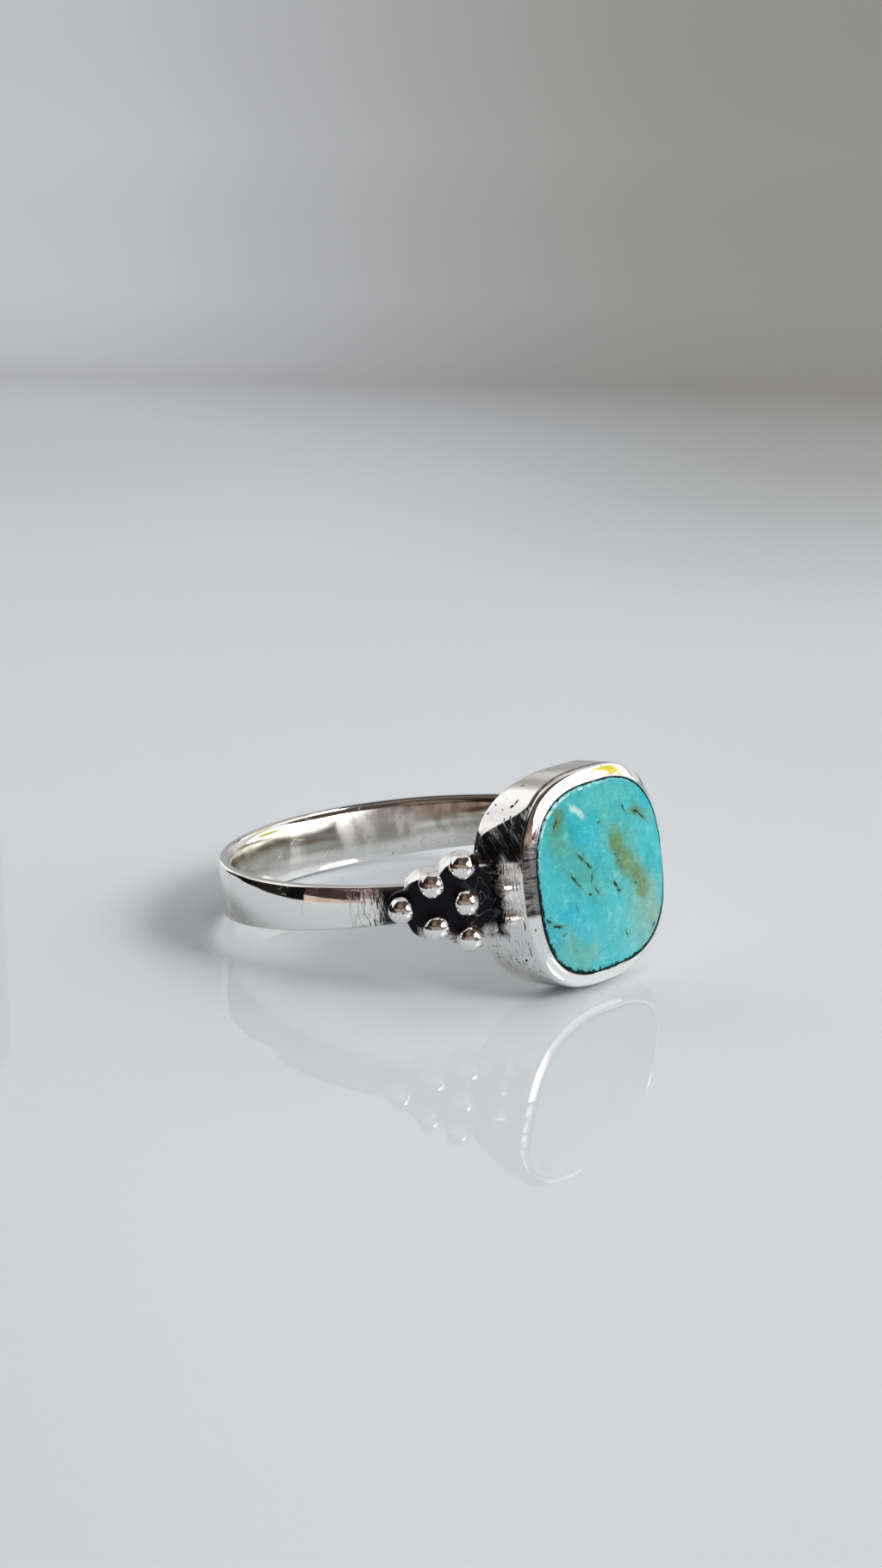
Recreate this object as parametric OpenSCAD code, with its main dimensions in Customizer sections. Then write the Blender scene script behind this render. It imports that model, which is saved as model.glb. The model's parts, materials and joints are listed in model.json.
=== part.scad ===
// Finger ring with a cushion-shaped cabochon in a bezel, lying on its side.
// The mount is one soldered piece of silver: shank, two scalloped shoulder
// plates with six granules each, and the bezel cup. The stone is separate.
// Everything is drawn around the finger hole first, with the hole along Z and
// the stone facing -Y. The last step tips it onto the surface that it lies on.

/* [Shank] */
// Diameter of the finger hole
finger_d = 17.3; // [15:0.1:21]
// Thickness of the band between the finger and the outside
shank_t = 0.8; // [0.7:0.05:1.4]
// Width of the band at the back of the finger
back_w = 3.0; // [2.6:0.05:4]
// Width of the band beside the finger, halfway to the stone
side_w = 2.2; // [1.9:0.02:2.5]
// Bevel on the band's inner edges, against the finger
inner_edge = 0.35; // [0.1:0.05:0.4]
// Bevel on the band's outer edges
outer_edge = 0.14; // [0.05:0.01:0.25]

/* [Shoulders] */
// How far the shoulder plates stand above the outside of the band
plate_rise = 0.65; // [0.5:0.05:1.1]
// How far the back of the plates stays off the finger
plate_relief = 0.5; // [0.3:0.05:0.6]
// Half the width across the ring where the plates' tips end
plate_reach = 8.25; // [8.1:0.05:8.6]
// Angle between the stone and the middle row of granules
row_angle = 42.6; // [41:0.1:44]
// Angle between one row of granules and the next
row_step = 7.7; // [7:0.1:8.5]
// Sideways distance between the two granules of the middle row
pair_spacing = 1.86; // [1.5:0.02:2]
// Sideways distance between neighbours in the row of three
trio_spacing = 1.58; // [1.4:0.02:1.7]
// Diameter of a granule
granule_d = 1.2; // [1:0.05:1.3]
// How much of a granule's diameter stands above the plate
granule_show = 0.82; // [0.6:0.01:0.9]

/* [Bezel] */
// Width of the bezel across the finger
bezel_w = 9.38; // [8.8:0.02:9.8]
// Height of the bezel along the finger
bezel_h = 9.68; // [9.1:0.02:10.2]
// How far the bezel's hollowed back stays off the finger; the band runs on behind it
bezel_relief = 0.45; // [0.2:0.05:0.6]
// Distance from the finger's middle to the front edge of the bezel's wall
wall_front = 10.68; // [10.5:0.02:11]
// How far the rubbed-over rim rises from there to the stone
rim_rise = 0.44; // [0.3:0.02:0.6]
// Thickness of silver between the finger and the stone
floor_t = 0.85; // [0.7:0.05:1]
// Squareness of the cushion outline: 2 is an ellipse, higher is squarer
squareness = 2.78; // [2.3:0.02:3.4]

/* [Stone] */
// Width of the stone that shows in the rim
stone_w = 8.2; // [7.8:0.02:8.3]
// Height of the stone that shows in the rim
stone_h = 8.34; // [7.8:0.02:8.5]
// How far the stone's middle stands out above the corners of its edge
dome = 0.26; // [0.1:0.02:0.5]
// Play between the stone and the silver
stone_gap = 0.04; // [0.02:0.01:0.06]

/* [Hidden] */
$fn = 96;

finger_r = finger_d / 2;
shank_r = finger_r + shank_t;
plate_r = shank_r + plate_rise;
plate_back_r = finger_r + plate_relief;
bezel_back_r = finger_r + bezel_relief;
granule_r = granule_d / 2;
granule_seat_r = plate_r + (granule_show - 0.5) * granule_d;
tall = 2 * bezel_h;

// The band narrows in a straight line from the back towards the stone
taper = (back_w - side_w) / 2 / shank_r;
function half_width(y) = side_w / 2 + taper * y;
over = 0.1;
half_profile = back_w / 2 + over;

// Where the granules of each row sit, sideways from the middle
ROWS = [[0], [-pair_spacing / 2, pair_spacing / 2], [-trio_spacing, 0, trio_spacing]];

// Flat circles that scallop a plate's edge: place along it, across it, radius
LOBES = [[-0.2, 0.53, 1.0], [1.3, 1.0, 1.05]];
tip_lobe_r = 0.72;
neck_half = 0.8;
root_half = 1.66;
root_end = 3.1;
lobe_start = finger_r * 0.8;

// The stone widens a little under the rim, which holds it in
undercut = 0.15;
rim_land = 0.08;
stone_edge = wall_front + rim_rise;
girdle = stone_edge - 0.75;
pocket_floor = finger_r + floor_t;
wall_start = finger_r * 0.8;
slice = 0.01;

// The cushion outline has an even number of sides and a short flat at each end
OUTLINE_STEPS = 64;
half_step = 180 / OUTLINE_STEPS;
low_half = bezel_h / 2 * pow(cos(half_step), 2 / squareness);

// The bezel's lower back edge and the band's lower back edge touch the surface
back_touch_y = (shank_r - outer_edge + (back_w - side_w) / 2) / (1 + taper);
tilt = atan((low_half - half_width(back_touch_y)) / (bezel_back_r + back_touch_y));
lift = low_half * cos(tilt) - bezel_back_r * sin(tilt);
front_y = -stone_edge * cos(tilt) - (stone_h / 2 + stone_gap + rim_land) * sin(tilt);
back_y = shank_r * cos(tilt) + (back_w / 2 - outer_edge) * sin(tilt);
centre_y = -(front_y + back_y) / 2;

function power(v, e) = sign(v) * pow(abs(v), e);

// Cushion outline with bulging sides and round corners
module cushion(half_w, half_h) {
    e = 2 / squareness;
    polygon([for (i = [0:OUTLINE_STEPS - 1])
        let (a = (2 * i + 1) * half_step)
        [half_w * power(cos(a), e), half_h * power(sin(a), e)]]);
}

// Prism of the cushion outline that runs outwards from one depth to another
module cushion_block(half_w, half_h, from, to) {
    translate([0, -from, 0])
        rotate([90, 0, 0])
            linear_extrude(to - from)
                cushion(half_w, half_h);
}

// Cushion that narrows or widens evenly between two depths
module cushion_taper(half_w, half_h, from, end_w, end_h, to) {
    hull() {
        cushion_block(half_w, half_h, from, from + slice);
        cushion_block(end_w, end_h, to - slice, to);
    }
}

// The band: a ring with bevelled edges, cut to its taper by two flat sides
module shank() {
    intersection() {
        rotate_extrude()
            polygon([[0, -half_profile], [shank_r - outer_edge - over, -half_profile],
                [shank_r, outer_edge - back_w / 2], [shank_r, back_w / 2 - outer_edge],
                [shank_r - outer_edge - over, half_profile], [0, half_profile]]);
        rotate([90, 0, 90])
            linear_extrude(tall, center = true)
                polygon([[-tall, -half_width(-tall)], [tall, -half_width(tall)],
                    [tall, half_width(tall)], [-tall, half_width(-tall)]]);
    }
}

// What the finger hole's bevelled edge takes off the band
module inner_bevels() {
    for (side = [0, 1])
        mirror([0, 0, side])
            translate([0, 0, back_w / 2 - inner_edge])
                cylinder(r1 = finger_r, r2 = finger_r + inner_edge + over, h = inner_edge + over);
}

// Outline of a shoulder plate, spread flat: tip to the left, bezel to the right
module plate_outline() {
    tip = -plate_r * sin(row_step);
    translate([tip, 0]) circle(r = tip_lobe_r);
    for (lobe = LOBES, side = [-1, 1])
        translate([lobe[0], side * lobe[1]]) circle(r = lobe[2]);
    polygon([[tip, -tip_lobe_r], [LOBES[0][0], -neck_half], [LOBES[1][0], -root_half], [root_end, -root_half],
        [root_end, root_half], [LOBES[1][0], root_half], [LOBES[0][0], neck_half], [tip, tip_lobe_r]]);
}

// One shoulder plate: the outline cut from a curved sheet
module plate() {
    intersection() {
        rotate([0, 0, -row_angle])
            translate([0, -lobe_start, 0])
                rotate([90, 0, 0])
                    linear_extrude(plate_r)
                        plate_outline();
        difference() {
            cylinder(r = plate_r, h = tall, center = true);
            cylinder(r = plate_back_r, h = tall, center = true);
        }
        cube([2 * plate_reach, 4 * plate_r, tall], center = true);
    }
}

// Rows of one, two and three granules that fan out towards the stone
module granules() {
    for (row = [0:2], place = ROWS[row])
        rotate([0, 0, -row_angle + (row - 1) * row_step])
            translate([0, -granule_seat_r, place])
                sphere(r = granule_r);
}

module shoulders() {
    for (side = [0, 1])
        mirror([side, 0, 0]) {
            plate();
            granules();
        }
}

// Box round the stone with its rim rubbed over and its back hollowed
module bezel() {
    difference() {
        union() {
            cushion_block(bezel_w / 2, bezel_h / 2, wall_start, wall_front);
            cushion_taper(bezel_w / 2, bezel_h / 2, wall_front - slice,
                stone_w / 2 + stone_gap + rim_land, stone_h / 2 + stone_gap + rim_land, stone_edge);
        }
        cylinder(r = bezel_back_r, h = tall, center = true);
    }
}

// Room for the stone, with play on every side
module pocket() {
    cushion_block(stone_w / 2 + undercut + stone_gap, stone_h / 2 + undercut + stone_gap, pocket_floor, girdle);
    cushion_taper(stone_w / 2 + undercut + stone_gap, stone_h / 2 + undercut + stone_gap, girdle - slice,
        stone_w / 2 + stone_gap, stone_h / 2 + stone_gap, stone_edge + slice);
}

// Lays the ring on its side on the surface, in the middle of its own box
module laid_down() {
    translate([0, centre_y, lift])
        rotate([-tilt, 0, 0])
            children();
}

module silver_mount() {
    color("silver")
        laid_down()
            difference() {
                union() {
                    difference() {
                        shank();
                        inner_bevels();
                    }
                    shoulders();
                    bezel();
                }
                cylinder(r = finger_r, h = tall, center = true);
                pocket();
            }
}

// Flat-backed cabochon: a narrowing cushion under a low dome
module turquoise_stone() {
    corner_r = stone_w / 2 * pow(2, 0.5 - 1 / squareness);
    dome_r = (corner_r * corner_r + dome * dome) / (2 * dome);
    stone_top = stone_edge + dome;
    narrowing = undercut * (1 + dome / (stone_edge - girdle));
    color("turquoise")
        laid_down()
            intersection() {
                union() {
                    cushion_block(stone_w / 2 + undercut, stone_h / 2 + undercut, pocket_floor + stone_gap, girdle);
                    cushion_taper(stone_w / 2 + undercut, stone_h / 2 + undercut, girdle - slice,
                        stone_w / 2 + undercut - narrowing, stone_h / 2 + undercut - narrowing, stone_top);
                }
                translate([0, dome_r - stone_top, 0]) sphere(r = dome_r, $fn = 200);
            }
}

silver_mount();
turquoise_stone();
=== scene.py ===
"""Looks of a silver ring with a turquoise cabochon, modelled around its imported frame."""
import json
import math
import random
from collections import namedtuple
from functools import partial, reduce

import bmesh
import bpy
from bpy.props import FloatProperty, FloatVectorProperty, PointerProperty
from mathutils import Matrix, Vector, noise


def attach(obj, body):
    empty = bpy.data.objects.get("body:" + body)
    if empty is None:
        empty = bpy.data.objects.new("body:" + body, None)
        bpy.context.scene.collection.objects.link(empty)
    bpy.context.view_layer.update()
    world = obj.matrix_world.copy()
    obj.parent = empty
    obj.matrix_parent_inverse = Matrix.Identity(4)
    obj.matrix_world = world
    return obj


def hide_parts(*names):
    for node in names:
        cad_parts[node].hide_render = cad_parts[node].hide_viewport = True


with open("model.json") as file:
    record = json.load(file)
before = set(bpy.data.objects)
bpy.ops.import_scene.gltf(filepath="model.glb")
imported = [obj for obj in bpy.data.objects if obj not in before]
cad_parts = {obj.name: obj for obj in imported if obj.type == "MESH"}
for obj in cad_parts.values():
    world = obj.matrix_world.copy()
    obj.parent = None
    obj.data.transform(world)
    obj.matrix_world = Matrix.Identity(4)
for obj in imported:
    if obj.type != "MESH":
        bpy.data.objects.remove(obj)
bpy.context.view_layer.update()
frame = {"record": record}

bl_info = {
    "name": "Turquoise ring",
    "version": (1, 0, 0),
    "blender": (4, 5, 0),
    "location": "3D View > Sidebar > Ring",
    "description": "Models a silver ring with granulated shoulders and a turquoise cabochon",
    "category": "Object",
}

MM = 0.001
BORE = frame["record"]["mounts"][0]
RING_CENTRE = Vector(BORE["pos_m"])
TIP_UP = math.atan2(BORE["axis"][1], BORE["axis"][2])
# Pieces are drawn in millimetres round the finger hole, which runs along Z, with the stone facing -Y
LAY_DOWN = Matrix.Translation(RING_CENTRE) @ Matrix.Rotation(-TIP_UP, 4, "X") @ Matrix.Scale(MM, 4)
# Each node that pieces replace, and their material slot
MOUNT, STONE = ("silver_mount", "silver"), ("turquoise_stone", "turquoise")

ROUND_STEPS = 288
STONE_STEPS = 384
SMOOTH_ANGLE = math.radians(38)
MERGE_DISTANCE = 1e-5
# How much wider the stone is under the rim than where it shows, which holds it in
UNDERCUT = 0.15

Row = namedtuple("Row", "half_w half_h depth")
Corner = namedtuple("Corner", "across out radius")
Lobe = namedtuple("Lobe", "along across radius")
Mark = namedtuple("Mark", "x z half_long half_wide turn depth", defaults=(0,))
Zone = namedtuple("Zone", "x z half_long half_wide turn soft weight colour")
Patch = namedtuple("Patch", "azimuth elevation half_wide half_tall squareness soft colour")
Screen = namedtuple("Screen", "x0 y0 x1 y1 low top grain colour other")
Shade = namedtuple("Shade", "place colour")


def length(name, description, millimetres):
    """A length, kept in metres and given in millimetres."""
    return FloatProperty(name=name, description=description, default=millimetres * MM, unit="LENGTH",
                         precision=5)


def angle(name, description, degrees):
    """An angle, kept in radians and given in degrees."""
    return FloatProperty(name=name, description=description, default=math.radians(degrees), unit="ROTATION")


def mm(value):
    return value / MM


def paint(*tone):
    """Linear colour of a tone given as it looks, from 0 to 255."""
    return tuple(((part / 255 + 0.055) / 1.055) ** 2.4 for part in tone)


class BandSizes(bpy.types.PropertyGroup):
    """Sizes of the band"""

    finger_d: length("Finger hole", "Diameter of the finger hole", 2 * BORE["dims"]["r_mm"])
    thickness: length("Thickness", "Thickness of the band", 0.79)
    back_width: length("Back width", "Width of the band at the back of the finger", 3.0)
    side_width: length("Side width", "Width of the band beside the finger", 2.2)
    inner_round: length("Inner rounding", "Rounding of the upper edge against the finger", 0.42)
    lower_round: length("Lower rounding", "Rounding of the lower edge against the finger", 0.1)
    outer_round: length("Outer rounding", "Rounding of the outside edges", 0.16)
    crown: length("Crown", "How much lower the outside is at the edges than in its middle", 0.09)
    comfort: length("Comfort", "How much wider the finger hole is at its ends than in its middle", 0.21)


class ShoulderSizes(bpy.types.PropertyGroup):
    """Sizes of the shoulder plates and their granules"""

    face_r: length("Plate face", "Radius of the plates' faces round the finger", 10.1)
    back_r: length("Plate back", "Radius of the plates' backs round the finger", 9.15)
    reach: length("Plate reach", "Half the width across the plates' tips", 8.25)
    edge_round: length("Edge rounding", "Rounding of the plates' edges", 0.2)
    seat_r: length("Granule seat", "Radius of the granules' middles round the finger", 10.484)
    granule_d: length("Granule", "Diameter of a granule", 1.2)
    pair_spacing: length("Pair spacing", "Sideways distance between the two granules of a row", 1.86)
    trio_spacing: length("Trio spacing", "Sideways distance between neighbours of the row of three", 1.58)
    row_angle: angle("Row angle", "Angle between the stone and the middle row of granules", 42.6)
    row_step: angle("Row step", "Angle between one row and the next", 7.7)


class BezelSizes(bpy.types.PropertyGroup):
    """Sizes of the bezel"""

    width: length("Width", "Width of the bezel across the finger", 9.38)
    height: length("Height", "Height of the bezel along the finger", 9.68)
    back_r: length("Back", "Radius of the bezel's hollowed back round the finger", 9.1)
    wall_front: length("Wall front", "Distance from the finger's middle to the wall's front edge", 10.68)
    floor_out: length("Floor", "Distance from the finger's middle to the floor under the stone", 9.5)
    squareness: FloatProperty(name="Squareness", description="2 is an ellipse, higher is squarer",
                              default=2.78)


class StoneSizes(bpy.types.PropertyGroup):
    """Sizes of the stone"""

    width: length("Width", "Width of the stone that shows", 8.2)
    height: length("Height", "Height of the stone that shows", 8.34)
    edge_out: length("Edge", "Distance from the finger's middle to the stone's edge", 11.12)
    dome: length("Dome", "How far the middle stands out above the corners of the edge", 0.25)
    gap: length("Play", "Play between the stone and the silver", 0.035)


class StageSettings(bpy.types.PropertyGroup):
    """Floor, light and camera"""

    floor_colour: FloatVectorProperty(name="Floor", description="Colour of the floor", subtype="COLOR",
                                      default=(0.66, 0.709, 0.754))
    azimuth: angle("Azimuth", "Angle of the camera round the ring", -46.651)
    elevation: angle("Elevation", "Angle of the camera above the floor", 17.015)
    roll: angle("Roll", "Lean of the camera", 0.948)
    distance: length("Distance", "Distance from the camera to its target", 130)
    lens: FloatProperty(name="Lens", description="Focal length in camera millimetres", default=63.56)
    target: FloatVectorProperty(name="Target", description="What the camera looks at", subtype="TRANSLATION",
                                default=(1.981 * MM, 1.775 * MM, 6.272 * MM), precision=5)


# Granule rows, from the plate's tip to the bezel: how many granules
ROW_COUNTS = (1, 2, 3)

# Places on the stone's face in millimetres from its middle, half sizes, turn in degrees and depth
PITS = (
    Mark(-2.71, 2.80, 0.24, 0.055, 62, 0.05),
    Mark(0.01, 2.34, 0.07, 0.045, 0, 0.04),
    Mark(-1.50, 1.12, 0.26, 0.05, -42, 0.05),
    Mark(-1.06, 0.70, 0.30, 0.03, -45, 0.03),
    Mark(-2.03, 0.29, 0.20, 0.07, -50, 0.05),
    Mark(-1.78, -0.03, 0.24, 0.035, -48, 0.04),
    Mark(-0.90, 0.12, 0.20, 0.05, 76, 0.04),
    Mark(-1.11, -0.61, 0.06, 0.05, 0, 0.04),
    Mark(-0.66, -0.53, 0.19, 0.045, -54, 0.04),
    Mark(0.58, -0.54, 0.17, 0.06, -48, 0.06),
    Mark(0.78, -0.86, 0.11, 0.06, -10, 0.06),
    Mark(1.76, 2.60, 0.20, 0.04, -62, 0.04),
    Mark(2.56, 2.31, 0.17, 0.08, -30, 0.06),
    Mark(2.90, 2.06, 0.32, 0.04, -40, 0.05),
    Mark(-2.00, -0.99, 0.17, 0.025, -66, 0.03),
    Mark(-3.77, -1.19, 0.15, 0.06, -36, 0.05),
    Mark(-3.25, -1.55, 0.26, 0.055, -12, 0.05),
    Mark(-2.89, -2.01, 0.08, 0.035, 10, 0.04),
    Mark(1.11, -2.87, 0.13, 0.05, -66, 0.04),
    Mark(3.08, -3.00, 0.13, 0.05, 48, 0.04),
    Mark(0.78, 0.78, 0.07, 0.05, 20, 0.03),
    Mark(1.99, -0.80, 0.09, 0.04, -20, 0.03),
)
# Colours of the stone, weakest first, the last being a painted highlight: places and sizes as above,
# softness and strength of the change
ZONES = (
    Zone(-1.2, 1.6, 1.5, 0.9, 70, 0.9, 0.75, (30, 176, 200)),
    Zone(-2.9, 0.2, 1.3, 0.8, 80, 0.8, 0.5, (58, 180, 196)),
    Zone(-2.4, -1.4, 1.2, 0.9, -20, 0.8, 0.8, (22, 172, 205)),
    Zone(0.2, -2.2, 2.2, 1.1, 60, 0.8, 0.6, (62, 186, 200)),
    Zone(2.0, -2.7, 1.5, 1.1, 20, 0.8, 0.55, (100, 192, 200)),
    Zone(0.9, 3.2, 2.0, 0.8, 0, 0.8, 0.5, (70, 182, 190)),
    Zone(3.1, 2.2, 1.3, 0.9, 90, 0.8, 0.5, (56, 186, 205)),
    Zone(-1.9, 0.9, 1.6, 0.75, -50, 0.8, 0.6, (72, 158, 152)),
    Zone(-0.9, -0.2, 1.3, 0.45, -60, 0.8, 0.5, (74, 160, 150)),
    Zone(-2.6, 2.3, 0.8, 0.6, 60, 0.7, 0.6, (92, 162, 140)),
    Zone(0.9, -0.3, 1.0, 0.6, -30, 0.8, 0.5, (74, 166, 160)),
    Zone(1.3, 1.3, 1.3, 0.75, -50, 0.6, 0.55, (92, 165, 148)),
    Zone(2.5, -1.6, 1.7, 0.75, -75, 0.7, 0.6, (112, 172, 168)),
    Zone(3.1, -1.9, 0.9, 0.4, -80, 0.7, 0.6, (150, 160, 140)),
    Zone(2.9, -3.1, 0.7, 0.4, 50, 0.7, 0.5, (140, 160, 145)),
    Zone(-2.4, -2.9, 1.1, 0.6, -55, 0.7, 0.6, (100, 165, 150)),
    Zone(-1.2, -3.3, 0.6, 0.4, 60, 0.7, 0.5, (120, 165, 140)),
    Zone(0.3, 2.4, 0.9, 0.35, -75, 0.7, 0.45, (96, 178, 172)),
    Zone(2.9, 2.2, 0.8, 0.28, -38, 0.6, 0.5, (110, 145, 110)),
    Zone(0.2, 3.5, 2.4, 0.7, 0, 0.8, 0.4, (112, 198, 200)),
    Zone(2.6, -2.3, 1.4, 1.2, -60, 0.8, 0.6, (118, 168, 158)),
    # A painted highlight: a pale glint near the stone's top left
    Zone(-1.35, 3.25, 0.42, 0.2, -60, 0.5, 0.75, (205, 240, 240)),
)
# Pits of the bezel's wall: distance out from the finger's middle instead of x
WALL_PITS = (
    Mark(9.66, 3.77, 0.10, 0.06, 20),
    Mark(9.79, 3.93, 0.11, 0.05, 70),
    Mark(9.80, 3.36, 0.07, 0.04, 50),
    Mark(9.20, 3.63, 0.04, 0.03, 0),
    Mark(8.45, 3.46, 0.07, 0.03, 40),
    Mark(8.70, 3.80, 0.05, 0.03, 10),
    Mark(9.44, 4.46, 0.06, 0.025, 30),
    Mark(10.55, -1.25, 0.24, 0.03, 86),
    Mark(10.50, -2.45, 0.26, 0.03, 80),
    Mark(10.05, -2.90, 0.08, 0.05, 30),
    Mark(9.55, -3.05, 0.07, 0.04, -20),
    Mark(9.95, -3.35, 0.05, 0.04, 0),
)
MATRIX = (
    Mark(0.98, 1.10, 0.70, 0.46, -72),
    Mark(1.35, 0.45, 0.75, 0.52, -50),
    Mark(1.98, -0.30, 0.82, 0.52, -56),
    Mark(2.45, -1.00, 0.55, 0.44, -62),
    Mark(-2.50, 2.98, 0.50, 0.28, 60),
    Mark(2.45, 2.38, 0.40, 0.16, -20),
)

# The room as the ring sees it, in degrees: azimuth 0 is in front of the stone and 90 towards +X
ROOM = (
    Patch(-119, 32, 30, 36, 2, 0.15, (0.012, 0.010, 0.009)),
    Patch(137, 26, 44, 50, 3, 0.15, (0.70, 0.69, 0.68)),
    Patch(137, 2, 24, 12, 2, 0.4, (0.40, 0.40, 0.41)),
    Patch(-172, 8, 37, 42, 2.4, 0.12, (0.92, 0.92, 0.91)),
    Patch(150, 29, 11, 11, 2, 0.6, (0.46, 0.455, 0.45)),
    Patch(-46, 10, 62, 20, 2, 0.35, (0.36, 0.27, 0.235)),
    Patch(-70, 62, 30, 20, 2, 0.6, (0.19, 0.15, 0.12)),
    Patch(53, 28, 41, 20, 5, 0.05, (2.4, 2.4, 2.4)),
    Patch(16, 35, 13, 11, 4, 0.1, (12.5, 12.5, 12.5)),
    Patch(73, 27, 14, 7, 2, 0.4, (0.95, 0.84, 0.08)),
)
# Colours of the rest of the room, low and high
WALLS, CEILING = (0.15, 0.105, 0.085), (0.085, 0.06, 0.045)
# Screens in millimetres: ends on the table, lowest and top height, grain and both colours of their tones
SCREENS = {
    "dark_screen_left": Screen(-6, 25, -28, 7.5, 0, 12, 90, (0.004, 0.004, 0.004), (0.02, 0.018, 0.016)),
    "brown_screen": Screen(-28, 7.5, -58, -16, 0, 1.9, 60, (0.38, 0.16, 0.10), (0.62, 0.52, 0.44)),
    "dark_screen_front": Screen(-28, 7.5, -52, -11, 1.9, 12, 60, (0.012, 0.01, 0.009), (0.06, 0.04, 0.032)),
    "window_bars": Screen(-15, -74, 22, -72, 0, 18, 500, (0.008, 0.009, 0.016), (0.13, 0.125, 0.17)),
}
# Tones of the table with the distance behind the ring, as parts of the distance to its far edge
FAR_EDGE = 0.5
FLOOR_SHADES = (
    Shade(0.0, (1.0, 1.0, 1.0)),
    Shade(0.10, (0.955, 0.955, 0.96)),
    Shade(0.18, (0.89, 0.89, 0.90)),
    Shade(0.225, (0.82, 0.815, 0.82)),
    Shade(0.27, (0.71, 0.705, 0.71)),
    Shade(0.305, (0.61, 0.60, 0.595)),
    Shade(0.33, (0.52, 0.505, 0.495)),
    Shade(0.365, (0.56, 0.55, 0.54)),
    Shade(0.465, (0.63, 0.62, 0.61)),
    Shade(0.69, (0.64, 0.63, 0.615)),
    Shade(1.0, (0.69, 0.68, 0.665)),
)
# The table's far tones on the left of the picture and on the right, over the shades above
LEFT_TONE, RIGHT_TONE = (1.39, 1.37, 1.41), (0.712, 0.684, 0.648)
# Turns the table's X away from the camera
AWAY_TURN = math.radians(-43.35)
MIRROR = 0.085

# Colours of the silver: polished, in blackened hollows and painted dark reflections, tarnished and painted
# shade, and rubbed
SILVER = (0.93, 0.915, 0.89)
BLACKENED_AND_PAINTED_REFLECTION = (0.018, 0.017, 0.022)
TARNISHED_AND_PAINTED_SHADE = (0.48, 0.465, 0.41)
RUBBED = (0.86, 0.835, 0.78)
# Depths of the silver's unevenness in millimetres
WAVE_DEPTH, HAIR_DEPTH, FLECK_DEPTH, PIT_DEPTH, CRUST_DEPTH = 0.006, 0.0006, 0.012, 0.02, 0.012

BLUE = paint(34, 168, 188)
LIGHT_BLUE = paint(66, 186, 200)
DEEP_BLUE = paint(30, 140, 148)
PALE_BLUE = paint(122, 210, 210)
PALE_VEIN = paint(150, 220, 216)
OLIVE = paint(92, 124, 56)
GREEN_OLIVE = paint(112, 150, 98)
OLIVE_SPECK = paint(92, 104, 44)
OLIVE_EDGE = paint(96, 120, 66)
BROWN_CRACK = paint(82, 84, 30)
PIT_HALO = paint(72, 138, 118)
GREEN_DIRT = paint(14, 44, 38)
BROWN_DIRT = paint(50, 66, 30)
# Colour of the painted glint along the stone's upper left edge
PAINTED_GLINT_COLOUR = paint(226, 242, 238)
SEAM = paint(14, 52, 52)
# Dims the stone's red, green and blue
STONE_TINT = (0.93, 0.94, 0.865)


def rounded(corners, steps=6):
    """Points of a line through corners, each rounded by the length that it gives up on both sides."""
    points = [Vector(corners[0][:2])]
    for before, corner, after in zip(corners, corners[1:], corners[2:]):
        middle = Vector(corner[:2])
        start = middle + (Vector(before[:2]) - middle).normalized() * corner.radius
        end = middle + (Vector(after[:2]) - middle).normalized() * corner.radius
        for step in range(steps + 1):
            part = step / steps
            points.append(start.lerp(middle, part).lerp(middle.lerp(end, part), part))
    points.append(Vector(corners[-1][:2]))
    return points


def spaced(points, gap):
    """The points of a line with more between them, so that none are further apart than the gap."""
    places = points[:1]
    for point in points[1:]:
        last = places[-1]
        parts = math.ceil((point - last).length / gap)
        places += [last.lerp(point, step / parts) for step in range(1, parts)]
        places.append(point)
    return places


def smooth(value, low, high):
    """0 up to low, 1 from high on, with a soft change between."""
    part = min(max((value - low) / (high - low), 0), 1)
    return part * part * (3 - 2 * part)


def cushion_point(turn, half_w, half_h, squareness):
    """Place on a cushion outline that lies at this angle from its middle."""
    across, up = abs(math.cos(turn)) / half_w, abs(math.sin(turn)) / half_h
    radius = (across ** squareness + up ** squareness) ** (-1 / squareness)
    return radius * math.cos(turn), radius * math.sin(turn)


def flat(depth):
    """The same depth all over a row."""
    return lambda x, z: depth


def shrunk(half_w, half_h, parts, depth):
    """Rows that are parts of the same cushion."""
    return [Row(half_w * part, half_h * part, depth) for part in parts]


def verts_of(geom):
    return [item for item in geom if isinstance(item, bmesh.types.BMVert)]


def edges_of(geom):
    return [item for item in geom if isinstance(item, bmesh.types.BMEdge)]


def loft_cushions(rows, squareness, steps=ROUND_STEPS):
    """A closed skin through cushion outlines, drawn together at both ends. A row's depth is a function."""
    bm = bmesh.new()
    ring = bmesh.ops.create_circle(bm, segments=steps, radius=1)["verts"]
    bmesh.ops.rotate(bm, verts=ring, matrix=Matrix.Rotation(math.radians(90), 3, "X"))
    first, edges = ring, bm.edges[:]
    for index, row in enumerate(rows):
        if index:
            made = bmesh.ops.extrude_edge_only(bm, edges=edges)["geom"]
            ring = verts_of(made)
            edges = [edge for edge in edges_of(made) if edge.is_boundary]
        for vert in ring:
            x, z = cushion_point(math.atan2(vert.co.z, vert.co.x), row.half_w, row.half_h, squareness)
            vert.co = x, -row.depth(x, z), z
    for end, row in ((first, rows[0]), (ring, rows[-1])):
        bmesh.ops.pointmerge(bm, verts=end, merge_co=(0, -row.depth(0, 0), 0))
    return bm


def uneven(verts, size, reach, seed):
    """Moves the skin a little, as filing and buffing by hand leave it. The seed makes each run the same."""
    noise.seed_set(seed)
    for vert in verts:
        vert.co += noise.noise_vector(vert.co / reach) * size


def mirrored(bm):
    """The same piece on the other side of the ring."""
    bmesh.ops.transform(bm, matrix=Matrix.Scale(-1, 4, (1, 0, 0)), verts=bm.verts)
    return bm


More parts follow.
